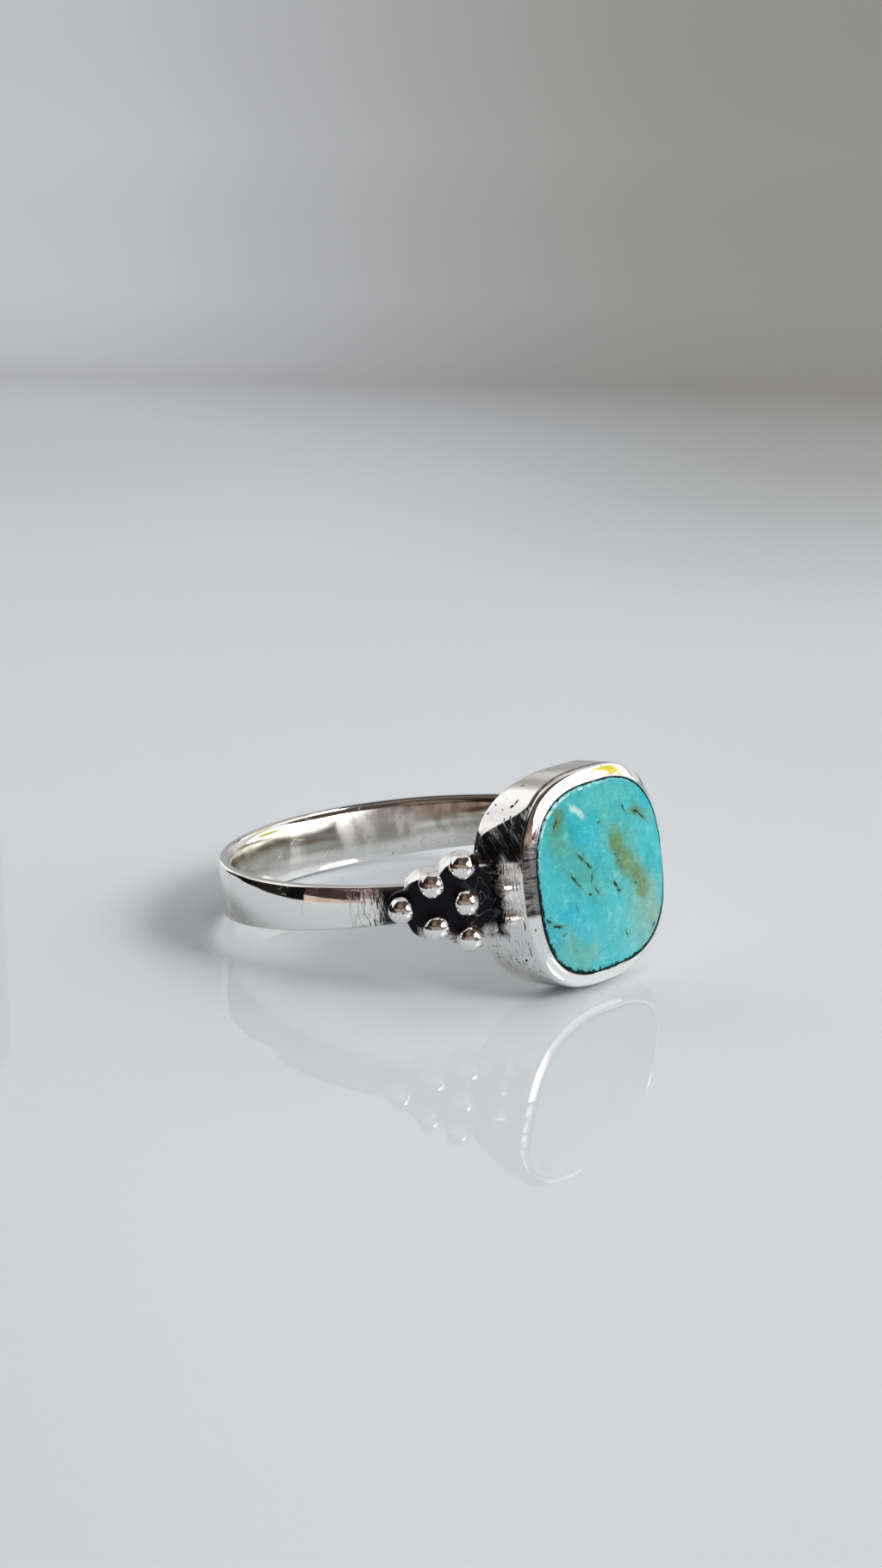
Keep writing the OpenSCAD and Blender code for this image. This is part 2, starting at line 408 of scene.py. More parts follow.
def mesh_from(name, bm, material):
    mesh = bpy.data.meshes.new(name)
    bm.to_mesh(mesh)
    bm.free()
    mesh.materials.append(material)
    return mesh


def add_object(name, data):
    thing = bpy.data.objects.new(name, data)
    bpy.context.scene.collection.objects.link(thing)
    return thing


def finish_piece(name, bm, material, part):
    """Lays a piece down in its place and hands it to the frame."""
    bmesh.ops.remove_doubles(bm, verts=bm.verts, dist=MERGE_DISTANCE)
    bmesh.ops.recalc_face_normals(bm, faces=bm.faces)
    bmesh.ops.transform(bm, matrix=LAY_DOWN, verts=bm.verts)
    mesh = mesh_from(name, bm, material)
    mesh.shade_smooth()
    mesh.set_sharp_from_angle(angle=SMOOTH_ANGLE)
    piece = add_object(name, mesh)
    node, slot = part
    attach(piece, "root")
    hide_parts(node)


def finish_pair(name, make, sizes, material):
    """A piece of the left shoulder and its mirror image on the right one."""
    finish_piece(name + "_left", make(sizes), material, MOUNT)
    finish_piece(name + "_right", mirrored(make(sizes)), material, MOUNT)


def arithmetic(operation):
    """A method of a field that adds the Math node for this operation."""
    return lambda field, *other: field.shader.math(operation, field, *other)


class Field:
    """A number that changes over a surface. Arithmetic with it adds the nodes that work it out."""

    __add__ = arithmetic("ADD")
    __sub__ = arithmetic("SUBTRACT")
    __mul__ = arithmetic("MULTIPLY")
    __truediv__ = arithmetic("DIVIDE")
    __pow__ = arithmetic("POWER")
    __abs__ = arithmetic("ABSOLUTE")

    def __init__(self, shader, socket):
        self.shader = shader
        self.socket = socket

    def __rsub__(self, other):
        return self.shader.math("SUBTRACT", other, self)

    def __neg__(self):
        return self * -1

    def fade(self, start, end, to_start=0.0, to_end=1.0):
        """Soft change as the number goes from start to end, which may also be the lower one."""
        node = self.shader.add("MapRange", {
            "Value": self, "From Min": start, "From Max": end, "To Min": to_start, "To Max": to_end},
            interpolation_type="SMOOTHSTEP")
        return Field(self.shader, node.outputs["Result"])


class Shader:
    """Adds and links the nodes of a material or of the room."""

    def __init__(self, owner):
        self.owner = owner
        owner.use_nodes = True
        self.tree = owner.node_tree
        self.tree.nodes.clear()

    def add(self, kind, inputs=None, **settings):
        node = self.tree.nodes.new("ShaderNode" + kind)
        for key, value in settings.items():
            setattr(node, key, value)
        for key, value in (inputs or {}).items():
            self.put(node.inputs[key], value)
        return node

    def put(self, socket, value):
        if isinstance(value, Field):
            value = value.socket
        if isinstance(value, bpy.types.NodeSocket):
            self.tree.links.new(value, socket)
        elif socket.type == "RGBA":
            socket.default_value = (*value, 1)
        else:
            socket.default_value = value

    def ring_place(self):
        """Object coordinates turned back into the ring's own frame, in millimetres."""
        place = self.add("TexCoord").outputs["Object"]
        turn = self.add("Mapping", {"Vector": place, "Location": RING_CENTRE, "Rotation": (-TIP_UP, 0, 0),
                                    "Scale": (MM, MM, MM)}, vector_type="TEXTURE")
        return turn.outputs["Vector"]

    def split(self, vector):
        node = self.add("SeparateXYZ", {"Vector": vector})
        return [Field(self, node.outputs[name]) for name in "XYZ"]

    def math(self, operation, first, second=0.0, third=0.0, clamp=False):
        node = self.add("Math", {0: first, 1: second, 2: third}, operation=operation, use_clamp=clamp)
        return Field(self, node.outputs["Value"])

    def least(self, values):
        return reduce(partial(self.math, "MINIMUM"), values)

    def most(self, *values):
        return reduce(partial(self.math, "MAXIMUM"), values)

    def radius(self, x, y):
        """Distance from the finger hole's middle line."""
        return self.math("SQRT", x * x + y * y)

    def noise(self, vector, scale, detail=2.0, roughness=0.5, distortion=0.0):
        node = self.add("TexNoise", {"Vector": vector, "Scale": scale, "Detail": detail,
                                     "Roughness": roughness, "Distortion": distortion})
        return Field(self, node.outputs["Fac"])

    def stretch(self, vector, scale, turn=(0, 0, 0)):
        return self.add("Mapping", {"Vector": vector, "Rotation": turn, "Scale": scale}).outputs["Vector"]

    def multiply(self, first, second):
        node = self.add("Mix", {0: 1.0, 6: first, 7: second}, data_type="RGBA", blend_type="MULTIPLY")
        return node.outputs[2]

    def blend(self, factor, first, second):
        return self.add("Mix", {0: factor, 6: first, 7: second}, data_type="RGBA").outputs[2]

    def ramp(self, value, shades):
        """Colours from a table of places and shades."""
        node = self.add("ValToRGB", {"Fac": value})
        elements = node.color_ramp.elements
        while len(elements) < len(shades):
            elements.new(0.5)
        for element, shade in zip(elements, shades):
            element.position = shade.place
            element.color = (*shade.colour, 1)
        return node.outputs["Color"]

    def bump(self, height, millimetres, normal=None):
        inputs = {"Height": height, "Distance": millimetres * MM, "Strength": 1.0}
        if normal is not None:
            inputs["Normal"] = normal
        return self.add("Bump", inputs).outputs["Normal"]

    def spot(self, vector, mark, ragged, grain):
        """Distance from the middle of a mark, 1 at its edge, which is ragged in waves of this grain."""
        waves = self.add("TexNoise", {"Vector": vector, "Scale": grain, "Detail": 2.0}).outputs["Color"]
        warp = self.add("VectorMath", {0: waves, 1: (0.5, 0.5, 0.5)}, operation="SUBTRACT")
        moved = self.add("VectorMath", {0: warp.outputs["Vector"], 1: (ragged, 0, ragged), 2: vector},
                         operation="MULTIPLY_ADD")
        local = self.add("Mapping", {"Vector": moved.outputs["Vector"], "Location": (mark.x, 0, mark.z),
                                     "Rotation": (0, math.radians(-mark.turn), 0),
                                     "Scale": (mark.half_long, 1000, mark.half_wide)}, vector_type="TEXTURE")
        away = self.add("VectorMath", {0: local.outputs["Vector"]}, operation="LENGTH")
        return Field(self, away.outputs["Value"])

    def thin_lines(self, vector, scale, width):
        """Thin wandering lines, such as scratches and cracks."""
        return abs(self.noise(vector, scale, 1.0) - 0.5).fade(width, width * 0.5)

    def close(self, surface, kind="OutputMaterial"):
        self.add(kind, {"Surface": surface.outputs[0]})
        return self.owner


def silver_material(name, stain_and_painted_reflection, wear_and_painted_shade=None, polish=0.03, streaks=0, filed=False):
    """Polished silver. By place, the stain function gives how black it is, with painted dark reflections on
    the bezel, and the wear function how scuffed, tarnished and matt, with painted shade in the band's
    tarnish.
    """
    shader = Shader(bpy.data.materials.new(name))
    place = shader.ring_place()
    x, y, z = shader.split(place)
    black = stain_and_painted_reflection(shader, place, x, y, z)
    cloud = shader.noise(place, 1.1, 4, 0.6)
    hairs = shader.noise(shader.stretch(place, (9, 9, 0.8)), 3, 3, 0.65)
    normal = shader.bump(shader.noise(place, 0.55, 1), WAVE_DEPTH)
    if filed:
        flecks = shader.noise(shader.stretch(place, (9, 9, 2)), 1, 3, 0.65)
        wall = y.fade(-10.7, -10.6) * shader.radius(x, y).fade(9.12, 9.3)
        low = z.fade(1.7, 1.4)
        normal = shader.bump(flecks * (wall * (low * 0.8 + 0.2)), FLECK_DEPTH, normal)
        specks = (flecks - low * 0.09).fade(0.32, 0.25)
        black = shader.most(black, specks * (wall * 0.75))
    if streaks:
        normal = shader.bump(hairs, HAIR_DEPTH * streaks, normal)
    if filed:
        cells = shader.add("TexVoronoi", {"Vector": shader.stretch(place, (1, 1, 0.55)), "Scale": 3.1})
        where = shader.noise(place, 0.9, 2).fade(0.5, 0.62)
        hole = Field(shader, cells.outputs["Distance"]).fade(0.17, 0.07) * where
        normal = shader.bump(-hole, PIT_DEPTH, normal)
        black = shader.most(black, hole * 0.75)
    normal = shader.bump(shader.noise(place, 14, 3, 0.7) * black, CRUST_DEPTH, normal)
    roughness = cloud * 0.04 + (polish - 0.02) + hairs * (0.05 * streaks)
    colour = SILVER
    if wear_and_painted_shade:
        scuffed, tarnish_and_painted_shade, matt = wear_and_painted_shade(shader, place, x, y, z)
        smear = shader.noise(shader.stretch(place, (1, 1, 0.5)), 0.9, 3, 0.6)
        # Tarnish: random, and where the wear function places it, painted shade
        clean = shader.math("SUBTRACT", smear.fade(0.36, 0.6), tarnish_and_painted_shade, clamp=True)
        colour = shader.blend(scuffed, SILVER, shader.blend(clean, TARNISHED_AND_PAINTED_SHADE, RUBBED))
        roughness += scuffed * (matt * 0.22 + 0.11)
    surface = shader.add("BsdfPrincipled", {
        "Base Color": shader.blend(black, colour, BLACKENED_AND_PAINTED_REFLECTION), "Metallic": 1,
        "Roughness": black.fade(0, 1, roughness, 0.36), "Normal": normal})
    return shader.close(surface)


def band_stain(shader, place, x, y, z):
    """Black and file marks on the band's outside, next to the plates' tips, and a few scratches."""
    front = y.fade(-2, -3) * shader.radius(x, y).fade(9.25, 9.4)
    ragged = shader.noise(shader.stretch(place, (6, 6, 1.5)), 2, 4, 0.7)
    edge = abs(x) + 0.35 - ragged * 0.7
    lines = shader.noise(shader.stretch(place, (14, 14, 0.9)), 1, 2, 0.6)
    filed = lines.fade(0.5, 0.57) * edge.fade(8, 8.75, 0.95, 0)
    black = shader.most(edge.fade(7.98, 7.72), filed) * front
    few = shader.noise(place, 0.6, 1).fade(0.5, 0.56, 0, 0.5)
    return shader.most(black, shader.thin_lines(place, 0.9, 0.004) * few)


def band_wear_and_painted_shade(shader, place, x, y, z):
    """How scuffed the inside of the band is, how tarnished in places as painted shade on its reflections,
    and how matt in one.
    """
    inside = shader.radius(x, y).fade(8.84, 8.78)
    frayed = x + shader.noise(shader.stretch(place, (1, 1, 0.6)), 1.6, 2) * 0.8
    # Painted shade: tarnish towards -X and in the middle, darkening the reflections inside the band
    side = frayed.fade(0.2, -1.6)
    middle = frayed.fade(0.6, 1.1) * frayed.fade(3.3, 2.8, 0, 0.8)
    matt = frayed.fade(2.7, 3.3) * frayed.fade(6.8, 5.8)
    return inside * z.fade(-0.9, -0.2, 0.25, 1), shader.most(side, middle), matt


def plate_stain(shader, place, x, y, z):
    """Black on the plates' faces, bright along their upper edges and rubbed grey along their lower ones."""
    worn = shader.noise(place, 2.8, 4, 0.7)
    upper = z.fade(0.5, 0.9) * abs(x).fade(7.5, 7.2)
    inset = Field(shader, shader.add("Attribute", attribute_name="inset").outputs["Fac"])
    inset = inset - worn * 0.10 - (upper * 0.22 + 0.03)
    face = inset.fade(-0.02, 0.04)
    streak = shader.noise(shader.stretch(place, (3, 3, 8)), 1, 3, 0.6).fade(0.42, 0.6)
    rubbed = inset.fade(0.5, 0.2) * (worn * 0.5 - z).fade(0.5, 1.3) * (streak * 0.5 + 0.5)
    scratches = shader.thin_lines(place, 1.6, 0.008) * y.fade(-8.1, -8.5)
    rubbed = shader.most(rubbed, scratches * 0.32)
    return shader.most(face - rubbed * face * 0.62, abs(x).fade(7.25, 7.45))


def granule_stain(shader, place, x, y, z):
    """A black line round the foot of each granule and a few nicks."""
    out = shader.radius(x, y) - shader.noise(place, 3, 3, 0.6) * 0.16
    few = shader.noise(place, 1.1, 1).fade(0.5, 0.56, 0, 0.9)
    return shader.most(out.fade(10.15, 10.07), shader.thin_lines(place, 2.6, 0.012) * few)


def bezel_black_and_painted_reflection(shader, place, x, y, z):
    """Black beside the plates, partly painted reflection, painted dark reflections in the upper corners and
    on the rim's left side, and wall pits.
    """
    out = -y
    worn = shader.noise(place, 2.2, 4, 0.65)
    fray = shader.noise(shader.stretch(place, (3, 3, 2)), 2, 4, 0.7)
    swirl = shader.noise(place, 2, 4, 0.6, 1).fade(0.5, 0.62, 1, 0.6)
    # Beside the plates: oxide in the joint, partly a painted reflection of the blackened plates
    beside = (out - fray * 1.3).fade(8.95, 8.75) * (abs(z) + worn * 0.6).fade(2.3, 1.9)
    beside *= abs(x).fade(4.3, 4.5) * swirl
    # Painted dark reflection: a streaked wedge in the wall's upper corners that rises towards the rim
    limit = z.fade(2.3, 3.9, 8.2, 10.52)
    corner = (out - limit).fade(-0.08, 0.06) * out.fade(10.74, 10.66) * z.fade(1.45, 1.6)
    turned = shader.stretch(place, (1, 1, 1), (0.75, 0, 0))
    streak = shader.noise(shader.stretch(turned, (1, 5, 0.9)), 1.3, 3, 0.6)
    corner *= streak.fade(0.5, 0.66, 1, 0.55)
    black = shader.most(beside, corner) * shader.radius(x, y).fade(9.14, 9.22)
    # Painted dark reflection with horizontal ribs on the rim's left side
    left = x.fade(-3.5, -3.8) * out.fade(10.74, 10.8)
    span = z.fade(-0.95, -0.75) * z.fade(2.5, 2.2)
    rungs = shader.noise(shader.stretch(place, (1.2, 1.2, 7)), 1, 3, 0.65)
    painted_ribbed_reflection = left * span * rungs.fade(0.36, 0.6, 0.97, 0.55)
    spread = shader.add("CombineXYZ", {0: out, 2: z}).outputs["Vector"]
    pit = shader.least(shader.spot(spread, mark, 0.10, 9) for mark in WALL_PITS)
    return shader.most(black, painted_ribbed_reflection, pit.fade(1.2, 0.8) * x.fade(0, -0.5))


def stone_edge(shader, place, x, z, stone, squareness):
    """How dirty the stone's outline is, most so at its lower left, and where a painted glint runs along its
    upper left edge.
    """
    half_w, half_h = mm(stone.width) / 2, mm(stone.height) / 2
    out = ((abs(x) / half_w) ** squareness + (abs(z) / half_h) ** squareness) ** (1 / squareness)
    inset = half_w - out * half_w
    ragged = shader.noise(place, 3.5, 4, 0.75).fade(0.35, 0.7, 0.3, 1.9)
    wide = (x * -0.6 - z * 0.8).fade(0.5, 3.6, 0.045, 0.13) * ragged
    # Painted glint: a broken pale line along the upper left edge, a little inside the outline
    corner = x.fade(1.2, -1) * z.fade(0.8, 2)
    painted_glint = shader.noise(place, 4, 3).fade(0.42, 0.52) * abs(inset - 0.13).fade(0.06, 0.02, 0, 0.85)
    return (inset / wide).fade(1.25, 0.75), corner * painted_glint


def matrix_colour(shader, place, away, mottle, grain):
    """Olive of the matrix, with specks, a greener edge and brown cracks."""
    colour = shader.blend(mottle.fade(0.35, 0.65), OLIVE, GREEN_OLIVE)
    colour = shader.blend(grain.fade(0.55, 0.7, 0, 0.6), colour, OLIVE_SPECK)
    edge = away.fade(0.75, 1) * away.fade(1.25, 1)
    colour = shader.blend(edge * 0.4, colour, OLIVE_EDGE)
    return shader.blend(shader.thin_lines(place, 2.2, 0.03) * 0.6, colour, BROWN_CRACK)


def turquoise_material(stone, squareness):
    """Polished turquoise with greener clouds, olive matrix, pits, a dark seam round its edge and painted
    highlights.
    """
    shader = Shader(bpy.data.materials.new("turquoise"))
    place = shader.ring_place()
    x, _, z = shader.split(place)
    cloud = shader.noise(shader.stretch(place, (1, 1, 0.6), (0, 0.5, 0)), 0.9, 4, 0.6, 0.4)
    mottle = shader.noise(place, 2.6, 5, 0.62, 0.8)
    grain = shader.noise(place, 9, 3, 0.6)
    colour = shader.blend(cloud.fade(0.38, 0.62), BLUE, LIGHT_BLUE)
    for zone in ZONES:
        away = shader.spot(place, zone, 1.3, 0.9)
        mask = away.fade(1 - zone.soft, 1 + zone.soft, zone.weight, 0)
        colour = shader.blend(mask, colour, paint(*zone.colour))
    colour = shader.blend(mottle.fade(0.52, 0.72, 0, 0.6), colour, PALE_BLUE)
    few = shader.noise(place, 1, 1).fade(0.42, 0.6, 0, 0.16)
    colour = shader.blend(shader.thin_lines(place, 1.5, 0.02) * few, colour, PALE_VEIN)
    colour = shader.blend(mottle.fade(0.48, 0.3, 0, 0.4), colour, DEEP_BLUE)
    away = shader.least(shader.spot(place, mark, 0.75, 2) for mark in MATRIX)
    brown = matrix_colour(shader, place, away, mottle, grain)
    colour = shader.blend(away.fade(1.6, 0.4) * 0.85, colour, brown)
    away = shader.least(shader.spot(place, mark, 0.22, 6) for mark in PITS)
    hole = away.fade(1.3, 0.75)
    dirt = shader.blend(grain.fade(0.4, 0.6), GREEN_DIRT, BROWN_DIRT)
    colour = shader.blend(away.fade(1.2, 3.2, 0.5, 0), colour, PIT_HALO)
    colour = shader.blend(hole * 0.95, colour, dirt)
    seam, painted_glint = stone_edge(shader, place, x, z, stone, squareness)
    # Paints the glint along the upper left edge, then the dark seam
    colour = shader.blend(seam, shader.blend(painted_glint, colour, PAINTED_GLINT_COLOUR), SEAM)
    normal = shader.bump(shader.noise(place, 1.3, 2), 0.010)
    rough = shader.most(hole, seam)
    surface = shader.add("BsdfPrincipled", {
        "Base Color": shader.multiply(colour, STONE_TINT), "Normal": shader.bump(mottle, 0.004, normal),
        "Roughness": rough.fade(0, 1, 0.10, 0.7), "IOR": 1.6,
        "Specular IOR Level": rough.fade(0, 1, 0.5, 0.05),
        "Subsurface Weight": 0.1, "Subsurface Radius": (0.3, 0.8, 0.9), "Subsurface Scale": 0.4 * MM})
    return shader.close(surface)


def make_band(sizes):
    """The band: a profile with round corners, spun round the finger and narrowed towards the stone."""
    inner = mm(sizes.finger_d) / 2
    outer = inner + mm(sizes.thickness)
    middle = (inner + outer) / 2
    half = mm(sizes.back_width) / 2
    taper = (mm(sizes.back_width) - mm(sizes.side_width)) / 2 / outer
    bm = bmesh.new()
    square = Matrix.Rotation(math.radians(45), 4, "Z")
    corners = bmesh.ops.create_circle(bm, segments=4, radius=1, matrix=square)["verts"]
    for vert in corners:
        vert.co = 0, outer if vert.co.x > 0 else inner, math.copysign(half, vert.co.y)
    outside = [vert for vert in corners if vert.co.y > middle]
    upper = [vert for vert in corners if vert.co.y < middle and vert.co.z > 0]
    lower = [vert for vert in corners if vert.co.y < middle and vert.co.z < 0]
    rounds = ((outside, sizes.outer_round), (upper, sizes.inner_round), (lower, sizes.lower_round))
    for turned, offset in rounds:
        bmesh.ops.bevel(bm, geom=turned, offset=mm(offset), segments=8, profile=0.5, affect="VERTICES",
                        material=-1)
    level = [edge for edge in bm.edges if abs(edge.verts[0].co.y - edge.verts[1].co.y) < 1e-4]
    bmesh.ops.subdivide_edges(bm, edges=level, cuts=9)
    for vert in bm.verts:
        part = (vert.co.z / half) ** 2
        vert.co.y += mm(sizes.comfort) * part if vert.co.y < middle else -mm(sizes.crown) * part
    bmesh.ops.spin(bm, geom=bm.verts[:] + bm.edges[:], cent=(0, 0, 0), axis=(0, 0, 1), angle=2 * math.pi,
                   steps=ROUND_STEPS, use_merge=True)
    for vert in bm.verts:
        vert.co.z *= (mm(sizes.side_width) / 2 + taper * vert.co.y) / half
    uneven(bm.verts, 0.012, 2.5, 1)
    return bm


def make_plate(sizes):
    """The left shoulder plate: a grid drawn to the scalloped outline, pushed out and cut at its tip."""
    tip = -mm(sizes.face_r) * math.sin(sizes.row_step)
    lobes = (Lobe(tip, 0, 0.72), Lobe(-0.2, 0.53, 1.0), Lobe(1.3, 1.0, 1.05))
    spine = ((tip, 0.72), (-0.2, 0.8), (1.3, 1.66), (3.1, 1.66))
    start, end = tip - 0.71, spine[-1][0]
    slope_width = 0.32

    def half_width(along):
        best = 0.0
        for (a, wide_a), (b, wide_b) in zip(spine, spine[1:]):
            if a <= along <= b:
                best = wide_a + (wide_b - wide_a) * (along - a) / (b - a)
        for lobe in lobes:
            if abs(along - lobe.along) < lobe.radius:
                best = max(best, lobe.across + math.sqrt(lobe.radius ** 2 - (along - lobe.along) ** 2))
        return best

    outwards = Vector((-math.sin(sizes.row_angle), -math.cos(sizes.row_angle), 0))
    sideways = Vector((math.cos(sizes.row_angle), -math.sin(sizes.row_angle), 0))
    edge = mm(sizes.edge_round)
    bm = bmesh.new()
    inset = bm.verts.layers.float.new("inset")
    bmesh.ops.create_grid(bm, x_segments=150, y_segments=48, size=1)
    back = bm.verts[:]
    face = set(verts_of(bmesh.ops.extrude_face_region(bm, geom=bm.faces[:], use_keep_orig=True)["geom"]))
    for vert in back + list(face):
        along = start + (end - start) * (vert.co.x + 1) / 2
        half = half_width(along)
        across = math.sin(vert.co.y * math.pi / 2) * half
        radius = mm(sizes.face_r if vert in face else sizes.back_r)
        height = math.sqrt(radius ** 2 - along ** 2)
        inside = half - abs(across)
        slope = smooth(across, 0.2, 0.5) * smooth(along, -1.35, -1.05)
        if vert in face and inside < edge:
            height -= (edge - math.sqrt(edge ** 2 - (edge - inside) ** 2)) * (1 - slope)
        if vert in face and inside < slope_width:
            height -= 0.8 * (1 - inside / slope_width) ** 1.25 * slope
        vert[inset] = inside if vert in face else 0
        vert.co = sideways * along + outwards * height + Vector((0, 0, across))
    cut = bmesh.ops.bisect_plane(bm, geom=bm.verts[:] + bm.edges[:] + bm.faces[:], dist=MERGE_DISTANCE,
                                 plane_co=(-mm(sizes.reach), 0, 0), plane_no=(-1, 0, 0), clear_outer=True)
    bmesh.ops.edgeloop_fill(bm, edges=edges_of(cut["geom_cut"]))
    uneven(bm.verts, 0.02, 1.3, 2)
    return bm


def make_granules(sizes):
    """The left shoulder's granules, each a little out of round."""
    bm = bmesh.new()
    seat = mm(sizes.seat_r)
    spacing = (0, mm(sizes.pair_spacing), mm(sizes.trio_spacing))
    dice = random.Random(4)
    for row, count in enumerate(ROW_COUNTS):
        turn = sizes.row_angle + (1 - row) * sizes.row_step
        for place in range(count):
            z = (place - (count - 1) / 2) * spacing[row]
            ball = bmesh.ops.create_icosphere(bm, subdivisions=5, radius=mm(sizes.granule_d) / 2)["verts"]
            shift = Vector([dice.uniform(0, 50) for axis in "XYZ"])
            squash = Matrix.Diagonal((dice.uniform(0.97, 1.02), 0.985, dice.uniform(0.97, 1.02)))
            for vert in ball:
                vert.co += vert.co * 0.035 * noise.noise(vert.co * 2.2 + shift)
            bmesh.ops.transform(bm, matrix=squash.to_4x4(), verts=ball)
            bmesh.ops.translate(bm, verts=ball, vec=(-math.sin(turn) * seat, -math.cos(turn) * seat, z))
    return bm


def make_bezel(sizes, stone):
    """The bezel: back hollowed to the finger, wall, rubbed rim and the room for the stone."""
    half_w, half_h = mm(sizes.width) / 2, mm(sizes.height) / 2
    back_r, front, edge = mm(sizes.back_r), mm(sizes.wall_front), mm(stone.edge_out)
    floor_out = mm(sizes.floor_out)
    open_w, open_h = mm(stone.width) / 2 + mm(stone.gap), mm(stone.height) / 2 + mm(stone.gap)
    lip = half_w - open_w
    lean = (half_h - open_h) / lip
    edge_round, narrowing, wall_rows, turn_in = 0.1, 0.05, 12, 0.1

    def saddle(x, z):
        return math.sqrt(back_r ** 2 - min(x * x, (half_w + 0.2) ** 2))

    def above_saddle(rise):
        return lambda x, z: saddle(x, z) + rise

    def on_wall(part):
        return lambda x, z: (saddle(x, z) + edge_round) * (1 - part) + (front - turn_in) * part

    def on_rim(across, depth):
        """The rim bulges on the left, where it was rubbed down less, and ever less towards the right."""
        part = min(max(across / lip, 0), 1)
        swell = 0.3 * (1 - math.exp(-part / 0.14)) + 0.12 * part - (depth - front) if part < 1 else 0
        swell = max(0, swell) * min(1, max(0, depth - front + turn_in) / turn_in)
        return lambda x, z: depth + swell * (1 - smooth(x / half_w, -0.1, 0.75))

    rows = shrunk(half_w, half_h, (0.1, 0.25, 0.4, 0.55, 0.7, 0.82, 0.91, 0.96), saddle)
    for step in range(6):
        turn = math.radians(18 * step)
        inset = edge_round * (1 - math.sin(turn))
        rows.append(Row(half_w - inset, half_h - inset, above_saddle(edge_round * (1 - math.cos(turn)))))
    for part in (step / wall_rows for step in range(1, wall_rows)):
        inset = narrowing * part ** 2
        rows.append(Row(half_w - inset, half_h - inset, on_wall(part)))
    profile = rounded([
        Corner(narrowing, front - turn_in, 0), Corner(narrowing, front, 0.07), Corner(lip * 0.9, edge, 0.05),
        Corner(lip, edge - 0.01, 0.03), Corner(lip, edge - 0.3, 0.05),
        Corner(lip - UNDERCUT, edge - 0.75, 0.05), Corner(lip - UNDERCUT, floor_out, 0.05),
        Corner(lip + 0.3, floor_out, 0)])
    rows += [Row(half_w - across, half_h - across * lean, on_rim(across, depth))
             for across, depth in spaced(profile, 0.03)]
    rows += shrunk(half_w, half_h, (0.6, 0.3, 0.1), flat(floor_out))
    bm = loft_cushions(rows, sizes.squareness)
    filed = [vert for vert in bm.verts
             if vert.co.y > -front - 0.05 or abs(vert.co.x) > open_w or abs(vert.co.z) > open_h]
    uneven(filed, 0.015, 1.6, 3)
    return bm


def relief(x, z):
    """How deep the stone's pits and cracks are at a place on its face."""
    deep = 0.0
    for pit in PITS:
        turn = math.radians(pit.turn)
        dx, dz = x - pit.x, z - pit.z
        along = (dx * math.cos(turn) + dz * math.sin(turn)) / pit.half_long
        across = (dz * math.cos(turn) - dx * math.sin(turn)) / pit.half_wide
        away = along * along + across * across
        if away < 4:
            deep = max(deep, 0.6 * pit.depth * math.exp(-away))
    return deep


def make_stone(sizes, bezel):
    """The stone: flat back, straight sides and a low dome with its pits."""
    half_w, half_h, edge = mm(sizes.width) / 2, mm(sizes.height) / 2, mm(sizes.edge_out)
    dome = mm(sizes.dome)
    corner_r = half_w * 2 ** (0.5 - 1 / bezel.squareness)
    dome_r = (corner_r ** 2 + dome ** 2) / (2 * dome)
    back_out = mm(bezel.floor_out) + 0.04
    edge_round, rings = 0.1, 84

    def crown(drop):
        return lambda x, z: edge + dome - (x * x + z * z) / (2 * dome_r) - drop - relief(x, z)

    rows = shrunk(half_w, half_h, (0.1, 0.4, 0.7, 1.0), flat(back_out))
    for wider, out in ((UNDERCUT, back_out), (UNDERCUT, edge - 0.76), (0.02, edge - 0.12)):
        rows.append(Row(half_w + wider, half_h + wider, flat(out)))
    for step in range(7):
        turn = math.radians(15 * step)
        inset = edge_round * (1 - math.cos(turn))
        rows.append(Row(half_w - inset, half_h - inset, crown(edge_round * (1 - math.sin(turn)))))
    parts = [ring / rings for ring in range(rings - 1, 0, -1)]
    rows += shrunk(half_w - edge_round, half_h - edge_round, parts, crown(0))
    return loft_cushions(rows, bezel.squareness, STONE_STEPS)


def floor_material(colour):
    """Pale table top with a faint mirror image, that darkens towards its far edge."""
    shader = Shader(bpy.data.materials.new("table_top"))
    place = shader.add("TexCoord").outputs["Object"]
    far, across, _ = shader.split(shader.stretch(place, (1, 1, 1), (0, 0, AWAY_TURN)))
    side = (across / (far + 0.125)).fade(-0.16, 0.16)
    tone = shader.blend(side * (side * 0.78 + 0.22), RIGHT_TONE, LEFT_TONE)
    early, late = far.fade(0.05, 0.12), far.fade(0.11, 0.18)
    tone = shader.blend(early + side * (late - early), (1, 1, 1), tone)
    shade = shader.multiply(shader.multiply(shader.ramp(far / FAR_EDGE, FLOOR_SHADES), tone), colour)
    matt = shader.add("BsdfDiffuse", {"Color": shade})
    gloss = shader.add("BsdfGlossy", {"Color": (1, 1, 1), "Roughness": 0.018})
    return shader.close(shader.add("MixShader", {0: MIRROR, 1: matt.outputs[0], 2: gloss.outputs[0]}))


